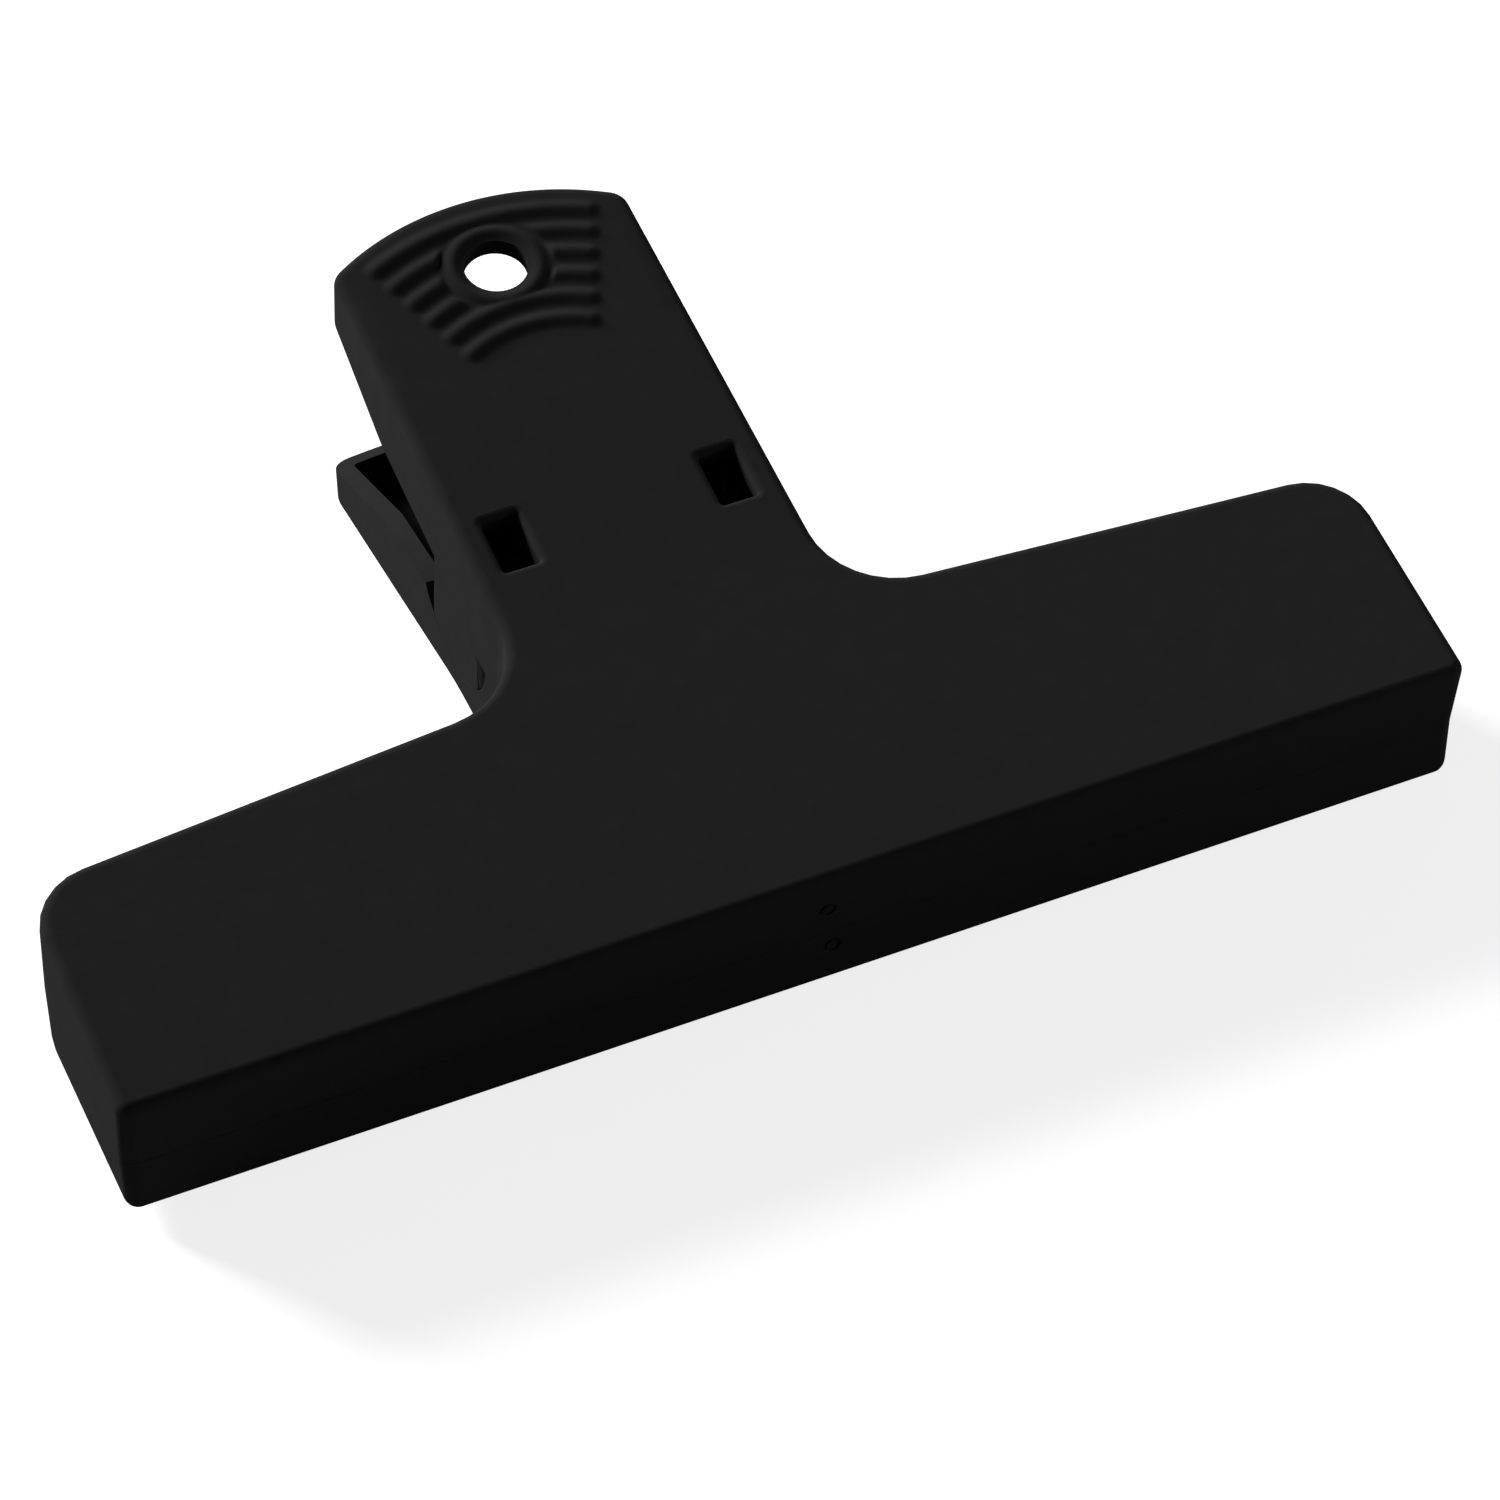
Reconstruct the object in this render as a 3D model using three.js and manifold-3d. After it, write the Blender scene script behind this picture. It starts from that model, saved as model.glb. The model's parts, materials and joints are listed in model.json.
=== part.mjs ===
// A wide spring clip: two hollow moulded jaws, T-shaped in plan, turn on a steel pin hidden between their
// handles, and a wound wire spring round the pin keeps them shut. Millimetres, +Z up.
// The clip lies as it does on a table, on the lower jaw's front edge and the lower handle's end, with its
// jaws towards -Y. The origin is the middle of its footprint, at table level.
import * as THREE from 'three';
import { mergeVertices } from 'three/addons/utils/BufferGeometryUtils.js';
import Module from 'manifold-3d';

const wasm = await Module();
wasm.setup();

const { degToRad } = THREE.MathUtils;

// The jaw bar, the same in both halves. Y runs from the jaw's front edge towards the handle's end.
const barWidth = 152;
const barDepth = 29.3;
const shoulderAngle = degToRad(3.4); // the bar's back edge swells towards the handle
const jawThickness = 9.8; // one half at its front edge
const jawWedge = degToRad(3.75); // each half thickens by this angle towards the handle
const wall = 2.2;
const edgeRound = 1.15; // rounding along the outer face's edge
const frontCorner = 1.6;
const backCorner = 6;
const rootFillet = 8; // where the bar runs into the handle
const seamGap = 0.3; // between the closed halves

// The handles.
const handleReach = 98.6; // from the jaw's front edge to the handle's end
const handleRootWidth = 35.4;
const handleEndWidth = 34.4;
const sideDepth = 11.2; // the handle's side walls, from its outer face
const sideTaper = 20.6; // over this length they get lower, down to the end
const sideEndDepth = 5.7;

// What differs between the halves: how far the handle bends outwards, where, and how its end is rounded.
const upperBend = { from: 38, to: 46, angle: degToRad(1.84), steps: 2 };
const lowerBend = { from: 53, to: 60, angle: degToRad(10.2), steps: 3 };
const upperEnd = { crown: 26, slant: degToRad(34), corner: 4 };
const lowerEnd = { crown: 90, slant: degToRad(9), corner: 3 };

// The pivot. Its place is given along the plane where the halves meet, and above that plane.
const pivotBack = 56.4;
const pivotRaise = 1.15;
const pinRadius = 1.75;
const pinFit = 0.3; // clearance round the pin
const pinEndPlay = 0.4;
const pinChamfer = 0.4;
const knuckleWall = 1.9; // plastic round the pin, in the hooks and in the lugs
const hookLip = 1; // how far the hook's lip stands up past the pin's middle
const lugWidth = 3.8;
const lugFit = 0.4; // between a lug and the hook beside it

// The upper half's ears cover the pivot and turn in round cut-outs of the lower half's side walls.
const earRadius = 9.8;
const earFit = 0.3;
const earBehind = 5.3; // behind the pivot
const earAhead = 7.8; // ahead of the pivot the ear leaves the seam, behind a small open wedge
const earFrontAngle = degToRad(-124); // from the pivot to the ear's front corner

// Two windows in the upper half, over the hooks.
const windowWidth = 4.7;
const windowLength = 7.4;
const windowAside = 12.9; // from the clip's middle to a window's
const windowAhead = 4.2; // a window's middle, ahead of the pivot
const hookInset = 0.3; // a hook is this much narrower than its window on each side

// The hole to hang the clip by, with its raised ring.
const holeRadius = 3.5;
const holeFromEnd = 10.3;
const ringRadius = 4.75;
const ringBead = 1.3; // radius of the ring's round section
const ringHeight = 0.65;

// Grip ridges on the upper handle: arcs about one centre, spread like a fan.
const ridgeCount = 6;
const ridgeCentreFromEnd = 34;
const ridgeFirst = 15; // radius of the arc nearest to the jaws
const ridgePitch = 3.12;
const ridgeHalfChord = 7; // half the length across of the first arc
const ridgeSpread = 1.14; // how much each further arc reaches out
const ridgeBead = 1.1;
const ridgeHeight = 0.65;

// Webs inside the bar.
const webThickness = 1.4;
const websEachSide = 3;
const webSetBack = 1.4; // below the seam

// The spring: one wound wire with two straight legs that push the handles apart.
const wireRadius = 0.8;
const coilFit = 0.6; // between the pin and the coil
const coilPitch = 2.2;
const coilTurns = 4; // whole turns, besides the part turn between the legs
const legReach = 20.6; // behind the pivot, where a leg ends under its handle
const legFit = 0.3;

// How finely the round forms are stepped.
const cornerChord = 1.2; // along an outline's corner
const cornerSteps = 3; // in the smallest corner
const arcSteps = 8; // half of an arc of the rim or of a ridge
const roundSteps = 24; // a pin, bore or ring, all the way round
const edgeSteps = 3; // the rounding along the outer face's edge
const knuckleSteps = 12; // an arc of a hook or a lug
const ridgeSides = 20; // a grip ridge's round section
const wireSides = 16;
const wireStep = 1.45; // along the wire
const wireSamples = 600; // where the wire's gap to itself is measured
const leastRound = 0.3; // no outline corner is sharper
const weld = 1e-4; // points nearer than this are one
const farAway = 400; // past every size of the clip

const hookWidth = windowWidth - 2 * hookInset;
const holeBack = handleReach - holeFromEnd;
const windowCut = 3 * wall; // a cut this tall, centred on the outer face, goes through its wall

const moulded = new THREE.MeshStandardMaterial({ color: 0x212121, roughness: 0.55, metalness: 0 });
const pinSteel = new THREE.MeshStandardMaterial({ color: 0xb9bbbe, roughness: 0.3, metalness: 1 });
const springSteel = new THREE.MeshStandardMaterial({ color: 0xa7a9ad, roughness: 0.35, metalness: 1 });

// A closed geometry as a solid that can be joined and cut.
function solid(geometry) {
  const bare = geometry.clone();
  bare.deleteAttribute('normal');
  bare.deleteAttribute('uv');
  const merged = mergeVertices(bare, weld);
  return new wasm.Manifold(new wasm.Mesh({
    numProp: 3,
    vertProperties: new Float32Array(merged.attributes.position.array),
    triVerts: new Uint32Array(merged.index.array),
  }));
}

function geometryOf(body) {
  const { vertProperties, triVerts } = body.getMesh();
  const geometry = new THREE.BufferGeometry();
  geometry.setAttribute('position', new THREE.BufferAttribute(new Float32Array(vertProperties), 3));
  geometry.setIndex(new THREE.BufferAttribute(new Uint32Array(triVerts), 1));
  geometry.computeVertexNormals();
  return geometry;
}

function box(width, depth, height, x, y, z) {
  return solid(new THREE.BoxGeometry(width, depth, height).translate(x, y, z));
}

// An upright round bar from one height to another.
function upright(radius, x, y, bottom, top) {
  const cylinder = new THREE.CylinderGeometry(radius, radius, top - bottom, roundSteps);
  cylinder.rotateX(Math.PI / 2).translate(x, y, (bottom + top) / 2);
  return solid(cylinder);
}

// A shape drawn in the Y-Z plane, pushed out along X about its middle.
function across(shape, width, x = 0) {
  const geometry = new THREE.ExtrudeGeometry(shape, {
    depth: width,
    bevelEnabled: false,
    curveSegments: knuckleSteps,
  });
  geometry.translate(0, 0, -width / 2);
  geometry.applyMatrix4(new THREE.Matrix4().set(0, 0, 1, x, 1, 0, 0, 0, 0, 1, 0, 0, 0, 0, 0, 1));
  return solid(geometry);
}

// An outline through corner points, anticlockwise, each corner rounded, drawn a wall's width inside them.
function roundedOutline(corners, inset) {
  const points = corners.flatMap((corner, i) => {
    const before = corners[(i + corners.length - 1) % corners.length];
    const after = corners[(i + 1) % corners.length];
    const into = new THREE.Vector2(corner.x - before.x, corner.y - before.y).normalize();
    const out = new THREE.Vector2(after.x - corner.x, after.y - corner.y).normalize();
    const side = Math.sign(into.cross(out));
    const left = new THREE.Vector2(-into.y, into.x);
    const leftOut = new THREE.Vector2(-out.y, out.x);
    const miter = left.clone().add(leftOut).multiplyScalar(inset / (1 + left.dot(leftOut)));
    const radius = Math.max(corner.round - side * inset, leastRound);
    const reach = radius * Math.tan(Math.acos(into.dot(out)) / 2);
    const start = new THREE.Vector2(corner.x, corner.y).add(miter).addScaledVector(into, -reach);
    const centre = start.clone().addScaledVector(left, side * radius);
    const first = start.clone().sub(centre).angle();
    const turn = side * 2 * Math.atan2(reach, radius);
    const steps = Math.max(cornerSteps, Math.round((radius * Math.abs(turn)) / cornerChord));
    return Array.from({ length: steps + 1 }, (_, step) => {
      const angle = first + (turn * step) / steps;
      return new THREE.Vector2(centre.x + radius * Math.cos(angle), centre.y + radius * Math.sin(angle));
    });
  });
  return new THREE.Shape(points);
}

// The right-hand corners of the plan of one half: the bar across the front, the handle behind it.
function planCorners(end) {
  const barHalf = barWidth / 2;
  const rootHalf = handleRootWidth / 2;
  const endHalf = handleEndWidth / 2;
  const rootBack = barDepth + (barHalf - rootHalf) * Math.tan(shoulderAngle);
  const apex = handleReach + end.crown * (1 / Math.cos(end.slant) - 1);
  return {
    front: { x: barHalf, y: 0, round: frontCorner },
    back: { x: barHalf, y: barDepth, round: backCorner },
    root: { x: rootHalf, y: rootBack, round: rootFillet },
    end: { x: endHalf, y: apex - endHalf * Math.tan(end.slant), round: end.corner },
    apex: { x: 0, y: apex, round: end.crown },
  };
}

function planOutline(end, inset) {
  const corners = planCorners(end);
  const right = [corners.front, corners.back, corners.root, corners.end];
  const left = right.map(({ x, y, round }) => ({ x: -x, y, round })).reverse();
  return roundedOutline([...right, corners.apex, ...left], inset);
}

// The depth of the plane where the halves meet, below a half's outer face.
function seamDepth(y) {
  return jawThickness + seamGap / 2 + y * Math.tan(jawWedge);
}

// From the plane where the halves meet to a half's own frame, and back: Y back, Z out of the outer face.
function toHalf(y, z) {
  const sin = Math.sin(jawWedge);
  const cos = Math.cos(jawWedge);
  return { y: y * cos + z * sin, z: -y * sin + z * cos - seamDepth(0) };
}

function fromHalf(y, z) {
  const sin = Math.sin(jawWedge);
  const cos = Math.cos(jawWedge);
  const raised = z + seamDepth(0);
  return { y: y * cos - raised * sin, z: y * sin + raised * cos };
}

// A bend is made as a few equal leans, each behind its own line across the handle.
function bendLines(bend) {
  const slope = Math.tan(bend.angle) / bend.steps;
  return Array.from({ length: bend.steps }, (_, i) => (
    { y: bend.from + ((i + 0.5) / bend.steps) * (bend.to - bend.from), slope }));
}

// How far a bend has lifted the outer face.
function lift(bend, y) {
  return bendLines(bend).reduce((sum, line) => sum + Math.max(0, y - line.y) * line.slope, 0);
}

function bent(body, bend) {
  return bendLines(bend).reduce((whole, line) => {
    const front = whole.intersect(box(farAway, farAway, farAway, 0, line.y - farAway / 2, 0));
    const back = whole.intersect(box(farAway, farAway, farAway, 0, line.y + farAway / 2, 0));
    const drop = line.y * line.slope;
    const lean = new THREE.Matrix4().set(1, 0, 0, 0, 0, 1, 0, 0, 0, line.slope, 1, -drop, 0, 0, 0, 1);
    return front.add(solid(geometryOf(back).applyMatrix4(lean)));
  }, body);
}

// A hollow half, open below, straight and with no rim cut yet. Its outer face is at Z 0.
function hollowBlank(end, deepest) {
  const depth = deepest + 2 * edgeRound;
  const outer = new THREE.ExtrudeGeometry(planOutline(end, 0), {
    depth: depth - 2 * edgeRound,
    bevelThickness: edgeRound,
    bevelSize: edgeRound,
    bevelOffset: -edgeRound,
    bevelSegments: edgeSteps,
  });
  outer.translate(0, 0, edgeRound - depth);
  const inner = new THREE.ExtrudeGeometry(planOutline(end, wall), {
    depth,
    bevelEnabled: false,
  });
  inner.translate(0, 0, -depth - wall);
  return solid(outer).subtract(solid(inner));
}

// Cross webs that tie the bar's front wall to its back wall.
function webs(end) {
  const depth = seamDepth(barDepth) * 2;
  const block = new THREE.ExtrudeGeometry(planOutline(end, wall / 2), {
    depth,
    bevelEnabled: false,
  });
  block.translate(0, 0, -depth - wall / 2);
  const rootHalf = handleRootWidth / 2;
  const places = Array.from({ length: websEachSide }, (_, i) => (
    rootHalf + ((i + 0.5) / websEachSide) * (barWidth / 2 - rootHalf)));
  const plates = [...places, ...places.map((x) => -x)]
    .map((x) => box(webThickness, farAway, farAway, x, 0, 0))
    .reduce((all, plate) => all.add(plate));
  const under = new THREE.Shape()
    .moveTo(-farAway, -seamDepth(-farAway) + webSetBack)
    .lineTo(-farAway, -farAway)
    .lineTo(farAway, -farAway)
    .lineTo(farAway, -seamDepth(farAway) + webSetBack);
  return solid(block).intersect(plates).subtract(across(under, farAway));
}

// What is cut away under a half's rim. The middle of the line, round the pivot, differs between the halves.
function underRim(bend, middle) {
  const seam = (y) => new THREE.Vector2(y, seamGap / 2 - seamDepth(y));
  const side = (y, depth) => new THREE.Vector2(y, lift(bend, y) - depth);
  const past = 2 * edgeRound;
  const fall = (sideDepth - sideEndDepth) / sideTaper;
  const backmost = side(handleReach + past, sideEndDepth - past * fall);
  const rim = [seam(-past), ...middle(seam, side), side(handleReach - sideTaper, sideDepth), backmost];
  return new THREE.Shape([
    new THREE.Vector2(-past, -farAway),
    new THREE.Vector2(handleReach + past, -farAway),
    ...rim.reverse(),
  ]);
}

// Points of an arc about the pivot, in a half's own frame.
function pivotArc(pivot, radius, from, to) {
  const steps = 2 * arcSteps;
  return Array.from({ length: steps + 1 }, (_, i) => {
    const angle = from + ((to - from) * i) / steps;
    return new THREE.Vector2(pivot.y + radius * Math.cos(angle), pivot.z + radius * Math.sin(angle));
  });
}

const pivotInUpper = toHalf(pivotBack, pivotRaise);
const pivotInLower = toHalf(pivotBack, -pivotRaise);
const pinSeat = pinRadius + pinFit;
const knuckle = pinSeat + knuckleWall;

// The upper rim follows the seam, goes round the ear and carries on along the handle.
function upperRim(seam, side) {
  const backAngle = -Math.acos(earBehind / earRadius);
  const ear = pivotArc(pivotInUpper, earRadius, earFrontAngle, backAngle);
  return [seam(pivotInUpper.y - earAhead), ...ear, side(pivotInUpper.y + earBehind, sideDepth)];
}

// Where a height that starts above zero at one angle falls to zero on the way to another.
function crossing(above, below, height) {
  const halvings = 30;
  let near = above;
  let far = below;
  for (let i = 0; i < halvings; i += 1) {
    const angle = (near + far) / 2;
    if (height(angle) > 0) {
      near = angle;
    } else {
      far = angle;
    }
  }
  return near;
}

// The lower rim follows the seam, dips round the ear's path and comes up to the handle's side wall.
function lowerRim(seam, side) {
  const radius = earRadius + earFit;
  const onArc = (angle) => pivotArc(pivotInLower, radius, angle, angle)[0];
  const front = crossing(Math.PI / 2, Math.PI, (angle) => onArc(angle).y - seam(onArc(angle).x).y);
  const back = crossing(Math.PI / 2, 0, (angle) => onArc(angle).y - side(onArc(angle).x, sideDepth).y);
  return pivotArc(pivotInLower, radius, front, back);
}

// A hook that hangs from the upper half's face and holds the pin from below.
function hook(x) {
  const { y, z } = pivotInUpper;
  const root = lift(upperBend, y) - wall / 2;
  const shape = new THREE.Shape()
    .moveTo(y + pinSeat, root)
    .lineTo(y + pinSeat, z)
    .absarc(y, z, pinSeat, 0, Math.PI, true)
    .lineTo(y - pinSeat, z + hookLip)
    .lineTo(y - knuckle, z + hookLip)
    .lineTo(y - knuckle, z)
    .absarc(y, z, knuckle, Math.PI, 2 * Math.PI, false)
    .lineTo(y + knuckle, root);
  return across(shape, hookWidth, x);
}

// A lug that stands on the lower half's face and carries the pin in a bore.
function lug(x) {
  const { y, z } = pivotInLower;
  const root = lift(lowerBend, y) - wall / 2;
  const shape = new THREE.Shape()
    .moveTo(y - knuckle, root)
    .lineTo(y - knuckle, z)
    .absarc(y, z, knuckle, Math.PI, 2 * Math.PI, false)
    .lineTo(y + knuckle, root);
  shape.holes.push(new THREE.Path().absarc(y, z, pinSeat, 0, 2 * Math.PI, false));
  return across(shape, lugWidth, x);
}

class FlatArc extends THREE.Curve {
  constructor(centre, radius, from, to, z) {
    super();
    Object.assign(this, { centre, radius, from, to, z });
  }

  getPoint(t, target = new THREE.Vector3()) {
    const angle = this.from + (this.to - this.from) * t;
    return target.set(
      this.radius * Math.cos(angle), this.centre + this.radius * Math.sin(angle), this.z);
  }
}

function roundSection(radius) {
  return new THREE.Shape().absarc(0, 0, radius, 0, 2 * Math.PI, false);
}

// One grip ridge: a round bar along an arc, most of it sunk in the handle's face.
function ridge(i) {
  const radius = ridgeFirst + i * ridgePitch;
  const halfAngle = Math.asin((ridgeHalfChord + i * ridgeSpread) / radius);
  const middle = Math.PI / 2;
  const centre = handleReach - ridgeCentreFromEnd;
  const path = new FlatArc(centre, radius, middle - halfAngle, middle + halfAngle, ridgeHeight - ridgeBead);
  return solid(new THREE.ExtrudeGeometry(roundSection(ridgeBead), {
    steps: 2 * arcSteps,
    curveSegments: ridgeSides / 2,
    extrudePath: path,
  }));
}

// The fan of ridges, which stops at the ring round the hole.
function ridges() {
  const fan = Array.from({ length: ridgeCount }, (_, i) => ridge(i)).reduce((all, one) => all.add(one));
  return fan.subtract(upright(ringRadius + ringBead, 0, holeBack, -jawThickness, jawThickness));
}

function holeRing() {
  const ring = new THREE.TorusGeometry(ringRadius, ringBead, arcSteps, roundSteps);
  return solid(ring.translate(0, holeBack, ringHeight - ringBead));
}

function hangHole() {
  return upright(holeRadius, 0, holeBack, -jawThickness, jawThickness);
}

function upperHalf() {
  const blank = hollowBlank(upperEnd, earRadius - pivotInUpper.z);
  const straight = blank.add(ridges()).add(holeRing()).subtract(hangHole());
  let body = bent(straight, upperBend).add(webs(upperEnd));
  body = body.subtract(across(underRim(upperBend, upperRim), farAway));
  for (const x of [-windowAside, windowAside]) {
    const y = pivotInUpper.y - windowAhead;
    body = body.add(hook(x)).subtract(box(windowWidth, windowLength, windowCut, x, y, lift(upperBend, y)));
  }
  return body;
}

function lowerHalf() {
  const blank = hollowBlank(lowerEnd, Math.max(sideDepth, -pivotInLower.z));
  let body = bent(blank.subtract(hangHole()), lowerBend).add(webs(lowerEnd));
  body = body.subtract(across(underRim(lowerBend, lowerRim), farAway));
  const lugAside = windowAside - (hookWidth + lugWidth) / 2 - lugFit;
  for (const x of [-lugAside, lugAside]) {
    body = body.add(lug(x));
  }
  return body;
}

// The pin lies along X. It reaches from one side wall to the other.
function pinGeometry() {
  const { root, end } = planCorners(upperEnd);
  const along = (pivotInUpper.y - root.y) / (end.y - root.y);
  const half = THREE.MathUtils.lerp(root.x, end.x, along) - wall - pinEndPlay;
  const profile = [
    new THREE.Vector2(0, -half),
    new THREE.Vector2(pinRadius - pinChamfer, -half),
    new THREE.Vector2(pinRadius, -half + pinChamfer),
    new THREE.Vector2(pinRadius, half - pinChamfer),
    new THREE.Vector2(pinRadius - pinChamfer, half),
    new THREE.Vector2(0, half),
  ];
  return new THREE.LatheGeometry(profile, roundSteps).rotateZ(Math.PI / 2);
}

// Where a spring leg ends, just inside its handle's outer wall.
function legEnd(bend, pivotInHalf) {
  const y = pivotInHalf.y + legReach;
  return fromHalf(y, lift(bend, y) - (wall + legFit + wireRadius) / Math.cos(bend.angle));
}

// The wire runs down the upper leg, winds about the pivot and leaves along the lower leg.
class SpringWire extends THREE.Curve {
  constructor(coilRadius) {
    super();
    this.arcLengthDivisions = wireSamples;
    const upper = legEnd(upperBend, pivotInUpper);
    const lower = legEnd(lowerBend, pivotInLower);
    const top = new THREE.Vector2(upper.y - pivotBack, upper.z - pivotRaise);
    const bottom = new THREE.Vector2(lower.y - pivotBack, -lower.z - pivotRaise);
    this.coilRadius = coilRadius;
    this.legs = [top, bottom].map((end) => Math.sqrt(end.lengthSq() - coilRadius ** 2));
    this.first = top.angle() + Math.acos(coilRadius / top.length());
    this.last = bottom.angle() - Math.acos(coilRadius / bottom.length()) + coilTurns * 2 * Math.PI;
    this.wound = this.last - this.first;
    this.halfWidth = (coilPitch * this.wound) / (4 * Math.PI);
    this.coilLength = this.wound * coilRadius;
    this.total = this.legs[0] + this.coilLength + this.legs[1];
  }

  onCoil(angle, x, along, target) {
    const y = this.coilRadius * Math.cos(angle) - along * Math.sin(angle);
    const z = this.coilRadius * Math.sin(angle) + along * Math.cos(angle);
    return target.set(x, y, z);
  }

  getPoint(t, target = new THREE.Vector3()) {
    const travelled = t * this.total - this.legs[0];
    if (travelled < 0) {
      return this.onCoil(this.first, this.halfWidth, travelled, target);
    }
    if (travelled > this.coilLength) {
      return this.onCoil(this.last, -this.halfWidth, travelled - this.coilLength, target);
    }
    const share = travelled / this.coilLength;
    const x = this.halfWidth * (1 - 2 * share);
    return this.onCoil(this.first + share * this.wound, x, 0, target);
  }
}

// The least gap between stretches of the wire that are more than half a turn apart.
function leastGap(wire) {
  const points = wire.getSpacedPoints(wireSamples);
  const apart = Math.ceil((Math.PI * wire.coilRadius * wireSamples) / wire.total);
  let least = Infinity;
  for (let i = 0; i < points.length; i += 1) {
    for (let j = i + apart; j < points.length; j += 1) {
      least = Math.min(least, points[i].distanceTo(points[j]));
    }
  }
  return least - 2 * wireRadius;
}

function springGeometry() {
  const wire = new SpringWire(pinRadius + coilFit + wireRadius);
  console.log(`spring: least gap to itself ${leastGap(wire).toFixed(2)} mm`);
  return new THREE.ExtrudeGeometry(roundSection(wireRadius), {
    steps: Math.round(wire.total / wireStep),
    curveSegments: wireSides / 2,
    extrudePath: wire,
  });
}

// A half stands on the plane where the halves meet, tilted by its wedge.
function halfGroup(mesh) {
  const group = new THREE.Group();
  const foot = fromHalf(0, 0);
  group.rotation.x = jawWedge;
  group.position.set(0, foot.y, foot.z);
  group.add(mesh);
  return group;
}

function named(name, geometry, material) {
  const mesh = new THREE.Mesh(geometry, material);
  mesh.name = name;
  return mesh;
}

// The closed clip, lying flat on the plane where its halves meet.
const clip = new THREE.Group();
clip.add(halfGroup(named('upper_half', geometryOf(upperHalf()), moulded)));

const turnedOver = new THREE.Group();
turnedOver.rotation.y = Math.PI;
turnedOver.add(halfGroup(named('lower_half', geometryOf(lowerHalf()), moulded)));
clip.add(turnedOver);

const pivot = new THREE.Group();
pivot.position.set(0, pivotBack, pivotRaise);
pivot.add(named('pivot_pin', pinGeometry(), pinSteel));
pivot.add(named('torsion_spring', springGeometry(), springSteel));
clip.add(pivot);

// On the table it tips back until the lower handle's end touches down.
const frontTouch = fromHalf(edgeRound, -edgeRound);
const endTouch = fromHalf(handleReach - edgeRound, lift(lowerBend, handleReach - edgeRound) - edgeRound);
clip.rotation.x = Math.atan2(endTouch.z - frontTouch.z, endTouch.y - frontTouch.y);

const springClip = new THREE.Group();
springClip.add(clip);
springClip.updateMatrixWorld(true);
const bounds = new THREE.Box3().setFromObject(springClip, true);
const middle = bounds.getCenter(new THREE.Vector3());
clip.position.set(-middle.x, -middle.y, -bounds.min.z);

export default springClip;
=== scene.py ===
import json
import math
import bpy
import bmesh
from mathutils import Matrix, Vector


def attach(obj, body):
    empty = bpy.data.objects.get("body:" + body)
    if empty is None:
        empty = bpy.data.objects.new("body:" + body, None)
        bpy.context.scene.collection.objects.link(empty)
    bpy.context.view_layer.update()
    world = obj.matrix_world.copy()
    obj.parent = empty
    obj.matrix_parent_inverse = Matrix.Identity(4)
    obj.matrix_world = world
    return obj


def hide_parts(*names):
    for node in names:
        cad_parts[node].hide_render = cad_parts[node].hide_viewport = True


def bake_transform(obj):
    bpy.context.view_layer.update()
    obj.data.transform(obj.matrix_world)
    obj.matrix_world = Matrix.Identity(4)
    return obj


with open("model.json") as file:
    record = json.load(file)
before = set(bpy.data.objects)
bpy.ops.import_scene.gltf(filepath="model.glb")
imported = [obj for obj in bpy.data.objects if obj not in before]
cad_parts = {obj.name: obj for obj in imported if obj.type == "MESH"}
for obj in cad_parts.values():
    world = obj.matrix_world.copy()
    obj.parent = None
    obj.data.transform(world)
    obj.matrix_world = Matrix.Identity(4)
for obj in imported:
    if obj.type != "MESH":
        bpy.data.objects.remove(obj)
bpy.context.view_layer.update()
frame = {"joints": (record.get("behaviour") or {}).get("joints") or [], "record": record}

# A wide black spring clip. Both mouldings are built in millimetres, each in its own frame: X along the
# jaws, Y from the jaw's front edge to the handle's end, Z out of the flat outer face. Each is then laid in
# place by the flat face that the record states on it, at a point MOUNT_BACK behind the front edge.
MM = 0.001
MOUNT_BACK = 15

# The jaw bar.
BAR_WIDTH = 152
BAR_DEPTH = 29.5
SHOULDER = math.radians(4.4)
JAW_THICKNESS = 9.8
JAW_WEDGE = math.radians(3.75)
WALL = 2.2
BLOCK_DEPTH = 28
CAVITY_DEPTH = 40
CAVITY_ROUND = 0.2
UPPER_ROUND = 1.3
LOWER_ROUND = 2.2
FRONT_CORNER = 1.6
BACK_CORNER = 7.2
ROOT_FILLET = 9.7
LEAST_ROUND = 0.3
SEAM_GAP = 0.3
SEAM_SHOWN = 0.08

# The handles.
HANDLE_REACH = 98.8
HANDLE_ROOT_WIDTH = 36.3
HANDLE_END_WIDTH = 35.1
SIDE_DEPTH = 11.2
SIDE_TAPER = 20.6
SIDE_END_DEPTH = 5.7

UPPER_BEND = dict(start=38, end=46, angle=math.radians(1.43), sunk=0)
LOWER_BEND = dict(start=53, end=60, angle=math.radians(10.2), sunk=1.5)
UPPER_END = dict(crown=32, slant=math.radians(29.4), corner=2.5)
LOWER_END = dict(crown=90, slant=math.radians(9), corner=3)

# The lower jaw is thinner than the upper one. Its outer face comes back level along the handle's root.
SINK_START = 33
SINK_END = 52
BEND_CUTS = 8
SINK_CUTS = 12

# The pivot, as seen from each half's own frame.
PIVOT_BACK = 56.4
PIVOT_RAISE = 1.15
PIN_RADIUS = 1.75
PIN_SEAT = 2.05
PIN_HALF = 14.9
PIN_CHAMFER = 0.4
KNUCKLE = 3.95
HOOK_LIP = 7.6
HOOK_WIDTH = 4.1
HOOK_ASIDE = 12.9
LUG_WIDTH = 3.8
LUG_ASIDE = 8.55
BORE_LENGTH = 2 * LUG_ASIDE + 8
CHEEK_THICKNESS = 0.9
CHEEK_INTO_HOOK = 0.1
CHEEK_FIT = 0.35
CHEEK_AHEAD = 7.4
CHEEK_BEHIND = 6

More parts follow.
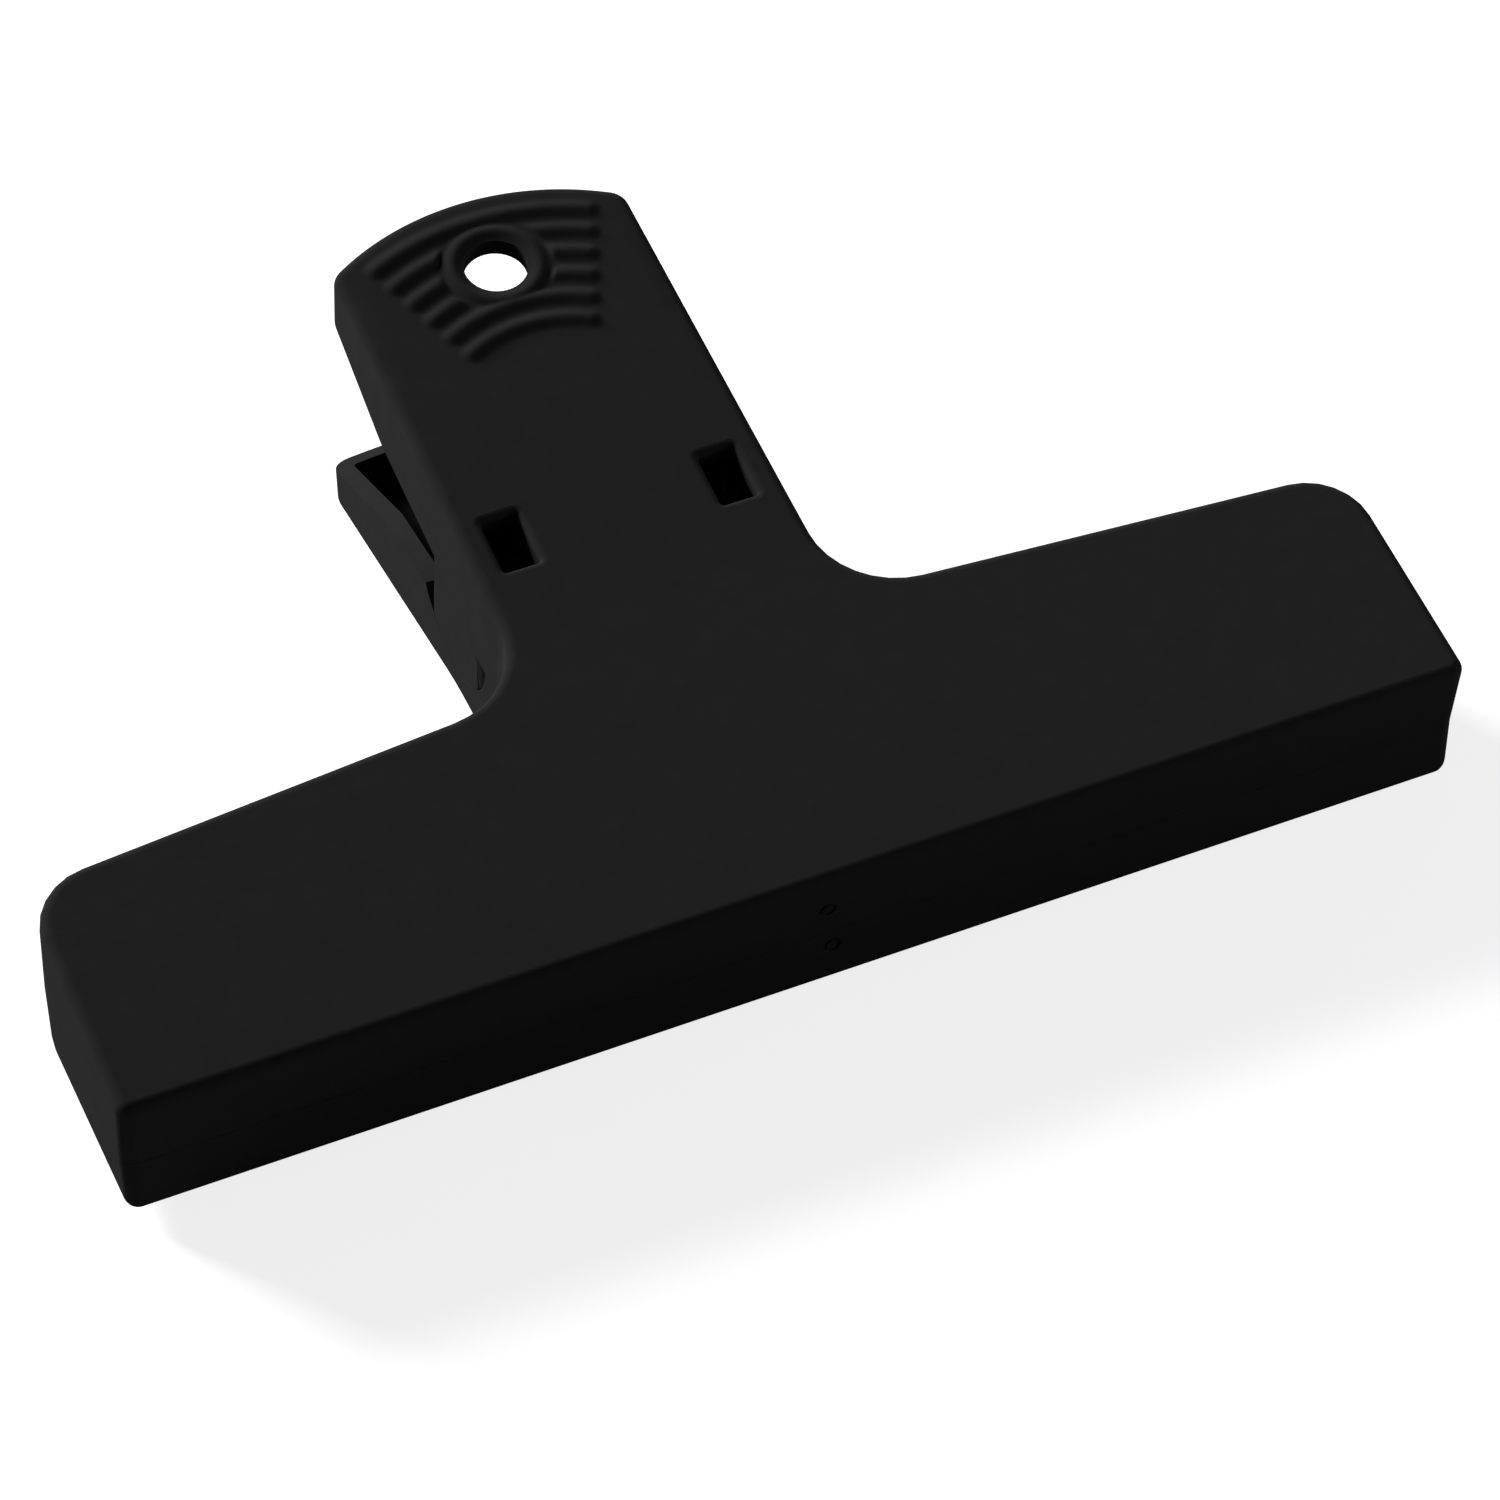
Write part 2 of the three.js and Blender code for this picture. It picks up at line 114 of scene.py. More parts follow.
# The ears cover the pivot. Each foot fills its ear's circle up to the lower half and curves inwards.
EAR_RADIUS = 9.9
EAR_FIT = 0.14
EAR_BEHIND = 5.3
EAR_AHEAD = 7.3
EAR_FRONT_ANGLE = math.radians(-144)
EAR_FOOT_ANGLE = math.radians(-136)
EAR_FOOT_AHEAD = 5
EAR_FOOT_ASIDE = 16.99
EAR_FOOT_THICKNESS = 2
EAR_FOOT_CURVE = 0.13
EAR_FOOT_CUTS = 14
EAR_FOOT_CUT = EAR_RADIUS / 50

# The windows over the hooks.
WINDOW_WIDTH = 4.25
WINDOW_LENGTH = 7.0
WINDOW_ASIDE = 12.68
WINDOW_AHEAD = 3.6
WINDOW_ROUND = 0.8
WINDOW_CORNER = 0.35
WINDOW_LIP_STEPS = 6
WINDOW_LIP_SUNK = 0.01

# The hang holes, and the ring and ridges round the upper one.
HOLE_RADIUS = 3.6
HOLE_BACK = 88.4
HOLE_LIP = 1.2
HOLE_STEPS = 96
UPPER_DRILL = 24
LOWER_DRILL = 50

RIDGE_COUNT = 6
RIDGE_CENTRE = 64.6
RIDGE_FIRST = 15
RIDGE_PITCH = 3.12
RIDGE_HALF_CHORD = 7
RIDGE_SPREAD = 1.14
RIDGE_HEIGHT = 0.45
RIDGE_HALF_WIDTH = 1.56
RIDGE_STOP = 1.15
RIDGE_FADE = 0.7
RING_RADIUS = 4.9
RING_HALF_WIDTH = 1.45
GRIP_START = 75.5
GRIP_END = 97.25
GRIP_ASIDE = 14.5
GRIP_CELL = 0.25

# Two round gate marks from moulding, in the front walls.
GATE_RADIUS = 1.0
GATE_LINE = 0.4
GATE_DEPTH = 0.22
UPPER_GATE = (1.57, -5.6)
LOWER_GATE = (-2.33, -7.75)
GATE_STEPS = 40

# The cross webs in the bar.
WEB_THICKNESS = 1.4
WEB_PLACES = (27.4, 46.9, 66.3)
WEB_SET_BACK = 1.4

# The spring.
WIRE_RADIUS = 0.8
WIRE_SIDES = 20
WIRE_END_ROUND = 0.15
COIL_RADIUS = 3.15
COIL_PITCH = 2.2
COIL_TURNS = 4
LEG_REACH = 20.6
LEG_FIT = 0.3

# How finely things are cut, and how near counts as touching.
ARC_STEPS = 20
PIVOT_STEPS = 32
SEAT_STEPS = 24
EAR_STEPS = 40
EAR_SEAT_STEPS = 48
EDGE_STEPS = 6
LEAST_STEPS = 6
COIL_STEP = math.radians(9)
CAP_SIDES = 9
NEAR = 0.02
MERGED = 2e-4
TOUCHING = 1e-5

# Faces by kind: rim faces, and inside faces that are painted darker as shade. Then the fine rounding of the
# rims, and the face size that shades flat.
RIM, INSIDE = 1, 2
RIM_ROUND = 0.08
RIM_ANGLE = math.radians(35)
SHARP_ANGLE = math.radians(40)
BROAD_FACE = 1.2


# Places.

def seam_depth(y):
    """How far the plane where the halves meet lies below a half's outer face."""
    return JAW_THICKNESS + SEAM_GAP / 2 + y * math.tan(JAW_WEDGE)


def to_half(y, z):
    """From the plane where the halves meet to a half's own frame."""
    sin, cos = math.sin(JAW_WEDGE), math.cos(JAW_WEDGE)
    return y * cos + z * sin, -y * sin + z * cos - seam_depth(0)


def from_half(y, z):
    """From a half's own frame to the plane where the halves meet."""
    sin, cos = math.sin(JAW_WEDGE), math.cos(JAW_WEDGE)
    raised = z + seam_depth(0)
    return y * cos - raised * sin, y * sin + raised * cos


def smooth_step(t):
    t = min(max(t, 0), 1)
    return t * t * (3 - 2 * t)


def lift(bend, y):
    """How far a handle's smooth bend has lifted the outer face, and how far a thin jaw's face is sunk."""
    slope, length = math.tan(bend["angle"]), bend["end"] - bend["start"]
    into = min(max(y - bend["start"], 0), length)
    sunk = bend["sunk"] * (1 - smooth_step((y - SINK_START) / (SINK_END - SINK_START)))
    return slope * (into * into / (2 * length) + max(y - bend["end"], 0)) - sunk


UPPER_PIVOT = to_half(PIVOT_BACK, PIVOT_RAISE)
LOWER_PIVOT = to_half(PIVOT_BACK, -PIVOT_RAISE)


def half_place(mount_name):
    """A half's own frame in the row frame, read off the flat face that the record states on it."""
    mount = next(m for m in frame["record"]["mounts"] if m["name"] == mount_name)
    out = Vector(mount["axis"]).normalized()
    back = Vector((0, abs(out.z), abs(out.y)))
    side = back.cross(out)
    turn = Matrix((side, back, out)).transposed().to_4x4()
    origin = Vector(mount["pos_m"]) - MOUNT_BACK * MM * back
    return Matrix.Translation(origin) @ turn @ Matrix.Scale(MM, 4)


# Mesh tools.

def new_piece(name, bm):
    mesh = bpy.data.meshes.new(name)
    bm.to_mesh(mesh)
    bm.free()
    obj = bpy.data.objects.new(name, mesh)
    bpy.context.scene.collection.objects.link(obj)
    return obj


def outward(bm):
    bmesh.ops.recalc_face_normals(bm, faces=bm.faces[:])


def arc_chain(bm, start, centre, turn, steps, axis):
    """A chain of points from start, turned about centre. Returns the points in order."""
    first = bm.verts.new(start)
    bmesh.ops.spin(bm, geom=[first], cent=centre, axis=axis, dvec=(0, 0, 0), angle=turn, steps=steps,
                   use_duplicate=False)
    chain, seen = [first], {first}
    while True:
        onward = [e.other_vert(chain[-1]) for e in chain[-1].link_edges]
        onward = [v for v in onward if v not in seen]
        if not onward:
            break
        chain.append(onward[0])
        seen.add(onward[0])
    return chain


def lone_point(bm, at, y, z):
    """A chain of a single point, at a place along X."""
    return [bm.verts.new((at, y, z))]


def closed_face(bm, chains):
    """Joins chains of points end to end into one loop and fills it."""
    for here, there in zip(chains, chains[1:] + chains[:1]):
        if (here[-1].co - there[0].co).length > TOUCHING:
            bm.edges.new((here[-1], there[0]))
    bmesh.ops.remove_doubles(bm, verts=bm.verts[:], dist=TOUCHING)
    bmesh.ops.contextual_create(bm, geom=bm.edges[:])


def pushed(bm, by):
    """Extrudes every face of a flat outline along by, into a closed solid."""
    made = bmesh.ops.extrude_face_region(bm, geom=bm.faces[:], use_keep_orig=True)
    moved = [g for g in made["geom"] if isinstance(g, bmesh.types.BMVert)]
    bmesh.ops.translate(bm, verts=moved, vec=by)
    outward(bm)


def plan_corners(end):
    """The corners of a half's outline, each with the radius that rounds it."""
    bar, root, tip = BAR_WIDTH / 2, HANDLE_ROOT_WIDTH / 2, HANDLE_END_WIDTH / 2
    apex = HANDLE_REACH + end["crown"] * (1 / math.cos(end["slant"]) - 1)
    right = [
        (bar, 0, FRONT_CORNER),
        (bar, BAR_DEPTH, BACK_CORNER),
        (root, BAR_DEPTH + (bar - root) * math.tan(SHOULDER), ROOT_FILLET),
        (tip, apex - tip * math.tan(end["slant"]), end["corner"]),
    ]
    left = [(-x, y, r) for x, y, r in reversed(right)]
    return right + [(0, apex, end["crown"])] + left


def plan_face(bm, end, inset, height):
    """The T-shaped outline of a half, drawn inset inside its edge, as one face."""
    corners = plan_corners(end)
    chains = []
    for i, (x, y, round_by) in enumerate(corners):
        before, after = corners[i - 1], corners[(i + 1) % len(corners)]
        into = Vector((x - before[0], y - before[1])).normalized()
        out = Vector((after[0] - x, after[1] - y)).normalized()
        side = 1 if into.x * out.y - into.y * out.x > 0 else -1
        left, left_out = Vector((-into.y, into.x)), Vector((-out.y, out.x))
        corner = Vector((x, y)) + (left + left_out) * inset / (1 + left.dot(left_out))
        radius = max(round_by - side * inset, LEAST_ROUND)
        half_turn = math.acos(into.dot(out)) / 2
        start = corner - into * radius * math.tan(half_turn)
        centre = start + left * side * radius
        fine = radius > 2
        steps = max(LEAST_STEPS, min(ARC_STEPS, math.ceil(radius * half_turn)) if fine else LEAST_STEPS)
        if y > HANDLE_REACH:
            steps = 2 * ARC_STEPS
        turn = side * 2 * half_turn
        chains.append(arc_chain(bm, (*start, height), (*centre, height), turn, steps, (0, 0, 1)))
    closed_face(bm, chains)


def cut_across(bm, places):
    """Lays cuts across the mesh at the places given along Y."""
    for y in places:
        bmesh.ops.bisect_plane(bm, geom=bm.verts[:] + bm.edges[:] + bm.faces[:], dist=TOUCHING,
                               plane_co=(0, y, 0), plane_no=(0, 1, 0))


def bent(bm, bend):
    """Bends the handle outwards about a smooth curve."""
    length = bend["end"] - bend["start"]
    places = [bend["start"] + length * i / BEND_CUTS for i in range(BEND_CUTS + 1)]
    if bend["sunk"]:
        places += [SINK_START + (SINK_END - SINK_START) * i / SINK_CUTS for i in range(SINK_CUTS + 1)]
    cut_across(bm, sorted(places))
    for v in bm.verts:
        v.co.z += lift(bend, v.co.y)


def region_edges(faces):
    return {e for f in faces for e in f.edges}


def fine_strips(bm, faces, low, high, step, axis):
    """Cuts faces into strips, each cut only through what still lies past the last one."""
    normal = Vector((axis == 0, axis == 1, 0))
    count = round((high - low) / step)
    ahead, done = list(faces), []
    for i in range(count + 1):
        place = low + (high - low) * i / count
        edges = region_edges(ahead)
        verts = {v for e in edges for v in e.verts}
        bmesh.ops.bisect_plane(bm, geom=list(verts) + list(edges) + ahead, dist=TOUCHING,
                               plane_co=normal * place, plane_no=normal)
        known = {f for v in verts if v.is_valid for f in v.link_faces}
        parts = {f for f in known if f.normal.z > 0.9 and abs(f.calc_center_median().z) < 1e-4
                 and f.calc_center_median().y > GRIP_START}
        past = [f for f in parts if f.calc_center_median()[axis] > place]
        done += [f for f in parts if f.calc_center_median()[axis] <= place and i > 0]
        ahead = past
    return [f for f in set(done) if f.is_valid]


# The raised forms on the upper handle.

def bead(distance, half_width, height):
    """A soft wave, round on top and hollow at its foot."""
    t = min(distance / half_width, 1)
    return height * (0.5 + 0.5 * math.cos(math.pi * t))


def grip_height(x, y):
    """Height of the grip ridges and of the ring round the hang hole above the handle's face."""
    from_hole = math.hypot(x, y - HOLE_BACK)
    height = bead(abs(from_hole - RING_RADIUS), RING_HALF_WIDTH, RIDGE_HEIGHT)
    from_centre = math.hypot(x, y - RIDGE_CENTRE)
    angle = math.atan2(x, y - RIDGE_CENTRE)
    for i in range(RIDGE_COUNT):
        radius = RIDGE_FIRST + i * RIDGE_PITCH
        end_angle = math.asin((RIDGE_HALF_CHORD + i * RIDGE_SPREAD) / radius)
        past_end = max(0, abs(angle) - end_angle) * radius
        off = math.hypot(from_centre - radius, past_end)
        if off < 2 * RIDGE_HALF_WIDTH:
            ridge = bead(off, RIDGE_HALF_WIDTH, RIDGE_HEIGHT)
            if 1 < i < RIDGE_COUNT - 1:
                ridge *= smooth_step((from_hole - RING_RADIUS - RIDGE_STOP) / RIDGE_FADE)
            height = max(height, ridge)
    return height


# The mouldings.

def shell_block(end, bend, edge_round, raised=None):
    """The full outer form of a half, before it is hollowed."""
    bm = bmesh.new()
    plan_face(bm, end, 0, 0)
    pushed(bm, (0, 0, -BLOCK_DEPTH))
    top = [e for e in bm.edges if all(abs(v.co.z) < 1e-6 for v in e.verts)]
    bmesh.ops.bevel(bm, geom=top, offset=edge_round, offset_type="OFFSET", segments=EDGE_STEPS, profile=0.5,
                    affect="EDGES", clamp_overlap=False, material=-1)
    outward(bm)
    if raised:
        face = max((f for f in bm.faces if f.normal.z > 0.99), key=lambda f: f.calc_area())
        fine = GRIP_CELL
        strips = fine_strips(bm, [face], GRIP_START, GRIP_END, fine, 1)
        cells = fine_strips(bm, strips, -GRIP_ASIDE, GRIP_ASIDE, fine, 0)
        for v in {v for f in cells for v in f.verts}:
            v.co.z += raised(v.co.x, v.co.y)
    bent(bm, bend)
    return new_piece("block", bm)


def inside_piece(piece):
    """Marks a tool's faces as inside faces, which the material paints darker as shade in the hollows."""
    for face in piece.data.polygons:
        face.material_index = INSIDE
    return piece


def cavity(end, bend):
    """The hollow of a half, one wall's thickness inside its outer form."""
    bm = bmesh.new()
    plan_face(bm, end, WALL, -WALL)
    pushed(bm, (0, 0, -CAVITY_DEPTH))
    top = [e for e in bm.edges if all(abs(v.co.z + WALL) < 1e-6 for v in e.verts)]
    bmesh.ops.bevel(bm, geom=top, offset=CAVITY_ROUND, offset_type="OFFSET", segments=2, profile=0.5,
                    affect="EDGES", clamp_overlap=False, material=-1)
    outward(bm)
    bent(bm, bend)
    return inside_piece(new_piece("cavity", bm))


def web(x, bend):
    """One cross web in the bar, its free edge kept back from the seam."""
    bm = bmesh.new()
    bmesh.ops.create_cube(bm, size=1)
    back = BAR_DEPTH + (BAR_WIDTH / 2 - abs(x)) * math.tan(SHOULDER) - WALL / 2
    for v in bm.verts:
        v.co.x = x + v.co.x * WEB_THICKNESS
        v.co.y = WALL / 2 if v.co.y < 0 else back
        v.co.z = lift(bend, 0) - WALL / 2 if v.co.z > 0 else WEB_SET_BACK - seam_depth(v.co.y)
    return inside_piece(new_piece("web", bm))


def sideways_solid(name, chains_of, width, x):
    """A profile drawn in the Y-Z plane and pushed out along X about its middle."""
    bm = bmesh.new()
    closed_face(bm, chains_of(bm, x - width / 2))
    pushed(bm, (width, 0, 0))
    return new_piece(name, bm)


def hook(x):
    """A hook in the upper half that the pin snaps into, with a long lip in front of the pin."""
    y, z = UPPER_PIVOT
    root = lift(UPPER_BEND, y) - WALL / 2

    def chains(bm, at):
        inner = arc_chain(bm, (at, y + PIN_SEAT, z), (at, y, z), -math.pi, SEAT_STEPS, (1, 0, 0))
        outer = arc_chain(bm, (at, y - KNUCKLE, z), (at, y, z), math.pi, PIVOT_STEPS, (1, 0, 0))
        lip_back = lone_point(bm, at, y - PIN_SEAT, z + HOOK_LIP)
        lip_front = lone_point(bm, at, y - KNUCKLE, z + HOOK_LIP)
        return [lone_point(bm, at, y + PIN_SEAT, root), inner, lip_back, lip_front, outer,
                lone_point(bm, at, y + KNUCKLE, root)]

    return inside_piece(sideways_solid("hook", chains, HOOK_WIDTH, x))


def cheek(side):
    """A thin rib beside each window, which closes the view from the window to the spring."""
    y = UPPER_PIVOT[0]
    outer = HOOK_ASIDE - HOOK_WIDTH / 2 + CHEEK_INTO_HOOK
    bm = bmesh.new()
    bmesh.ops.create_cube(bm, size=1)
    for v in bm.verts:
        v.co.x = side * (outer if v.co.x > 0 else outer - CHEEK_THICKNESS)
        v.co.z = lift(UPPER_BEND, y) - WALL / 2 if v.co.z > 0 else UPPER_PIVOT[1] + KNUCKLE + CHEEK_FIT
        v.co.y = y + (CHEEK_BEHIND if v.co.y > 0 else -CHEEK_AHEAD)
    outward(bm)
    return inside_piece(new_piece("cheek", bm))


def ear_foot(side):
    """The ear's front corner, which curves inwards and fills the ear's circle up to the lower half."""
    y, z = UPPER_PIVOT
    front = y - EAR_AHEAD

    def chains(bm, at):
        turn = math.pi + EAR_FOOT_ANGLE
        arc = arc_chain(bm, (at, y - EAR_RADIUS, z), (at, y, z), turn, SEAT_STEPS, (1, 0, 0))
        return [arc, lone_point(bm, at, y - EAR_FOOT_AHEAD, z)]

    piece = sideways_solid("ear_foot", chains, EAR_FOOT_THICKNESS, side * EAR_FOOT_ASIDE)
    bm = bmesh.new()
    bm.from_mesh(piece.data)
    cut_across(bm, [front - EAR_FOOT_CUT * i for i in range(EAR_FOOT_CUTS)])
    for v in bm.verts:
        if side * v.co.x > EAR_FOOT_ASIDE:
            v.co.x -= side * EAR_FOOT_CURVE * max(front - v.co.y, 0) ** 2
    bm.to_mesh(piece.data)
    bm.free()
    return piece


def lug(x):
    """A lug in the lower half, to be bored for the pin."""
    y, z = LOWER_PIVOT
    root = lift(LOWER_BEND, y) - WALL / 2

    def chains(bm, at):
        outer = arc_chain(bm, (at, y - KNUCKLE, z), (at, y, z), math.pi, PIVOT_STEPS, (1, 0, 0))
        return [lone_point(bm, at, y - KNUCKLE, root), outer, lone_point(bm, at, y + KNUCKLE, root)]

    return inside_piece(sideways_solid("lug", chains, LUG_WIDTH, x))


def round_bar(name, radius, segments, axis, centre, length):
    bm = bmesh.new()
    bmesh.ops.create_cone(bm, cap_ends=True, cap_tris=False, segments=segments, radius1=radius,
                          radius2=radius, depth=length)
    if axis == "X":
        bmesh.ops.rotate(bm, verts=bm.verts[:], cent=(0, 0, 0), matrix=Matrix.Rotation(math.pi / 2, 3, "Y"))
    bmesh.ops.translate(bm, verts=bm.verts[:], vec=centre)
    outward(bm)
    return new_piece(name, bm)


def window(x):
    """The cutter of one window, flared at its top into a round lip."""
    y = UPPER_PIVOT[0] - WINDOW_AHEAD
    bm = bmesh.new()
    bmesh.ops.create_cube(bm, size=1)
    outer = (WINDOW_WIDTH + 2 * WINDOW_ROUND, WINDOW_LENGTH + 2 * WINDOW_ROUND, WALL)
    bmesh.ops.translate(bm, verts=bm.verts[:], vec=(0, 0, 0.5))
    bmesh.ops.scale(bm, vec=outer, verts=bm.verts[:])
    upright = [e for e in bm.edges if abs(e.verts[0].co.z - e.verts[1].co.z) > 1]
    bmesh.ops.bevel(bm, geom=upright, offset=WINDOW_CORNER + WINDOW_ROUND, offset_type="OFFSET", segments=8,
                    profile=0.5, affect="EDGES", material=-1)
    outward(bm)
    under = min(bm.faces, key=lambda f: f.calc_center_median().z)
    turns = [math.pi / 2 * i / WINDOW_LIP_STEPS for i in range(WINDOW_LIP_STEPS + 1)]
    for before, after in zip(turns, turns[1:]):
        bmesh.ops.inset_region(bm, faces=[under], use_even_offset=True,
                               thickness=WINDOW_ROUND * (math.sin(after) - math.sin(before)),
                               depth=WINDOW_ROUND * (math.cos(before) - math.cos(after)))
    made = bmesh.ops.extrude_discrete_faces(bm, faces=[under])
    bmesh.ops.translate(bm, verts=made["faces"][0].verts[:], vec=(0, 0, -2 * WALL))
    outward(bm)
    tilt = Matrix.Rotation(UPPER_BEND["angle"], 3, "X")
    bmesh.ops.rotate(bm, verts=bm.verts[:], cent=(0, 0, 0), matrix=tilt)
    bmesh.ops.translate(bm, verts=bm.verts[:], vec=(x, y, lift(UPPER_BEND, y) - WINDOW_LIP_SUNK))
    return new_piece("window", bm)


def gate_ring(x, z):
    """A fine ring, to be cut into a front wall."""
    bm = bmesh.new()
    inner, outer = x + GATE_RADIUS - GATE_LINE, x + GATE_RADIUS
    square = ((inner, -1), (outer, -1), (outer, GATE_DEPTH), (inner, GATE_DEPTH))
    corners = [bm.verts.new((a, y, z)) for a, y in square]
    profile = [bm.edges.new((a, b)) for a, b in zip(corners, corners[1:] + corners[:1])]
    bmesh.ops.spin(bm, geom=profile, cent=(x, 0, z), axis=(0, 1, 0), dvec=(0, 0, 0), angle=2 * math.pi,
                   steps=GATE_STEPS, use_merge=True, use_duplicate=False)
    outward(bm)
    return new_piece("gate_ring", bm)


def under_rim(bend, middle):
    """All that lies below a half's rim, to be cut away."""
    far, past = 60, 3
    fall = (SIDE_DEPTH - SIDE_END_DEPTH) / SIDE_TAPER

    def chains(bm, at):
        def point(y, z):
            return lone_point(bm, at, y, z)

        def side(y, depth):
            return point(y, lift(bend, y) - depth)

        front = point(-past, SEAM_SHOWN / 2 - seam_depth(-past))
        back = side(HANDLE_REACH + past, SIDE_END_DEPTH - past * fall)
        return [point(-past, -far), front, *middle(bm, at, point, side),
                side(HANDLE_REACH - SIDE_TAPER, SIDE_DEPTH), back, point(HANDLE_REACH + past, -far)]

    piece = sideways_solid("under_rim", chains, 2 * BAR_WIDTH, 0)
    for face in piece.data.polygons:
        face.material_index = RIM
    return piece


def upper_rim(bm, at, point, side):
    """The middle of the upper half's rim, which dips round the ear."""
    y, z = UPPER_PIVOT
    ahead = y - EAR_AHEAD
    last = -math.acos(EAR_BEHIND / EAR_RADIUS)
    start = (at, y + EAR_RADIUS * math.cos(EAR_FRONT_ANGLE), z + EAR_RADIUS * math.sin(EAR_FRONT_ANGLE))
    ear = arc_chain(bm, start, (at, y, z), last - EAR_FRONT_ANGLE, EAR_STEPS, (1, 0, 0))
    return [point(ahead, SEAM_SHOWN / 2 - seam_depth(ahead)), ear, side(y + EAR_BEHIND, SIDE_DEPTH)]


def lower_rim(bm, at, point, side):
    """The middle of the lower half's rim, cut out round the ear."""
    y, z = LOWER_PIVOT
    radius = EAR_RADIUS + EAR_FIT

    def on_arc(angle):
        return y + radius * math.cos(angle), z + radius * math.sin(angle)

    def crossing(outside, inside, height):
        """The angle where the arc meets a line, found by halving."""
        for _ in range(40):
            middle = (outside + inside) / 2
            outside, inside = (middle, inside) if height(*on_arc(middle)) > 0 else (outside, middle)
        return outside

    first = crossing(math.pi / 2, math.pi, lambda back, up: up - SEAM_SHOWN / 2 + seam_depth(back))
    last = crossing(math.pi / 2, 0, lambda back, up: up - lift(LOWER_BEND, back) + SIDE_DEPTH)
    return [arc_chain(bm, (at, *on_arc(first)), (at, y, z), last - first, EAR_SEAT_STEPS, (1, 0, 0))]


def combined(piece, tools, operation):
    """Joins the tools to a piece or cuts them from it, and drops the tools."""
    for tool in tools:
        cut = piece.modifiers.new("cut", "BOOLEAN")
        cut.solver = "EXACT"
        cut.operation = operation
        cut.object = tool
        cut.material_mode = "INDEX"
    bpy.context.view_layer.update()
    graph = bpy.context.evaluated_depsgraph_get()
    mesh = bpy.data.meshes.new_from_object(piece.evaluated_get(graph), depsgraph=graph)
    piece.modifiers.clear()
    piece.data = mesh
    for tool in tools:
        bpy.data.objects.remove(tool)


def rounded_edges(bm, edges, radius, segments):
    bmesh.ops.bevel(bm, geom=list(edges), offset=radius, offset_type="OFFSET", segments=segments,
                    profile=0.5, affect="EDGES", clamp_overlap=True, material=-1)


def on_inner_lip(v):
    """Whether a point lies on the inner edge of the upper half's hang hole."""
    from_edge = math.hypot(v.co.x, v.co.y - HOLE_BACK) - HOLE_RADIUS
    from_inside = v.co.z - lift(UPPER_BEND, v.co.y) + WALL
    return abs(from_edge) < NEAR and abs(from_inside) < NEAR


def finish_moulding(piece, name, place, body, node, inner_lip):
    """Rounds the cut edges, lays the moulding in place and hangs it on its body."""
    bm = bmesh.new()
    bm.from_mesh(piece.data)
    bmesh.ops.remove_doubles(bm, verts=bm.verts[:], dist=MERGED)
    bmesh.ops.dissolve_degenerate(bm, edges=bm.edges[:], dist=MERGED)
    if inner_lip:
        ring = [e for e in bm.edges if all(on_inner_lip(v) for v in e.verts)]
        rounded_edges(bm, ring, HOLE_LIP, 4)
    rim = [e for e in bm.edges if len(e.link_faces) == 2 and e.calc_face_angle(0) > RIM_ANGLE
           and sum(f.material_index == RIM for f in e.link_faces) == 1]
    rounded_edges(bm, rim, RIM_ROUND, 2)
    # Marks the inside faces, which the material paints darker as shade.
    inside = bm.faces.layers.float.new("inside")
    for f in bm.faces:
        f.smooth = True
        f[inside] = f.material_index == INSIDE
        f.material_index = 0
    for e in bm.edges:
        e.smooth = len(e.link_faces) == 2 and e.calc_face_angle(0) < SHARP_ANGLE
    bmesh.ops.transform(bm, matrix=place, verts=bm.verts[:])
    bm.verts.index_update()
    least = (BROAD_FACE * MM) ** 2
    broad = [v.index for v in bm.verts if any(f.calc_area() > least for f in v.link_faces)]
    bm.to_mesh(piece.data)
    bm.free()
    piece.vertex_groups.new(name="beside_broad_faces").add(broad, 1, "REPLACE")
    piece.name = piece.data.name = name
    piece.data.materials.clear()
    piece.data.materials.append(black_plastic())
    even = piece.modifiers.new("even_shading", "WEIGHTED_NORMAL")
    even.keep_sharp = True
    even.weight = 100
    even.vertex_group = "beside_broad_faces"
    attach(piece, body)
    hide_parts(node)


def upper_moulding():
    """The upper jaw with its handle, windows, hooks and ears. The feet go on once the rim is cut."""
    piece = shell_block(UPPER_END, UPPER_BEND, UPPER_ROUND, grip_height)
    combined(piece, [cavity(UPPER_END, UPPER_BEND)], "DIFFERENCE")
    inside = [web(side * x, UPPER_BEND) for x in WEB_PLACES for side in (-1, 1)]
    inside += [hook(x) for x in (-HOOK_ASIDE, HOOK_ASIDE)]
    inside += [cheek(side) for side in (-1, 1)]
    combined(piece, inside, "UNION")
    cuts = [under_rim(UPPER_BEND, upper_rim)]
    cuts += [round_bar("hole", HOLE_RADIUS, HOLE_STEPS, "Z", (0, HOLE_BACK, 0), UPPER_DRILL)]
    cuts += [window(x) for x in (-WINDOW_ASIDE, WINDOW_ASIDE)]
    cuts += [gate_ring(*UPPER_GATE)]
    combined(piece, cuts, "DIFFERENCE")
    combined(piece, [ear_foot(side) for side in (-1, 1)], "UNION")
    finish_moulding(piece, "upper_jaw", half_place("front_face"), "front_jaw", "upper_half", True)


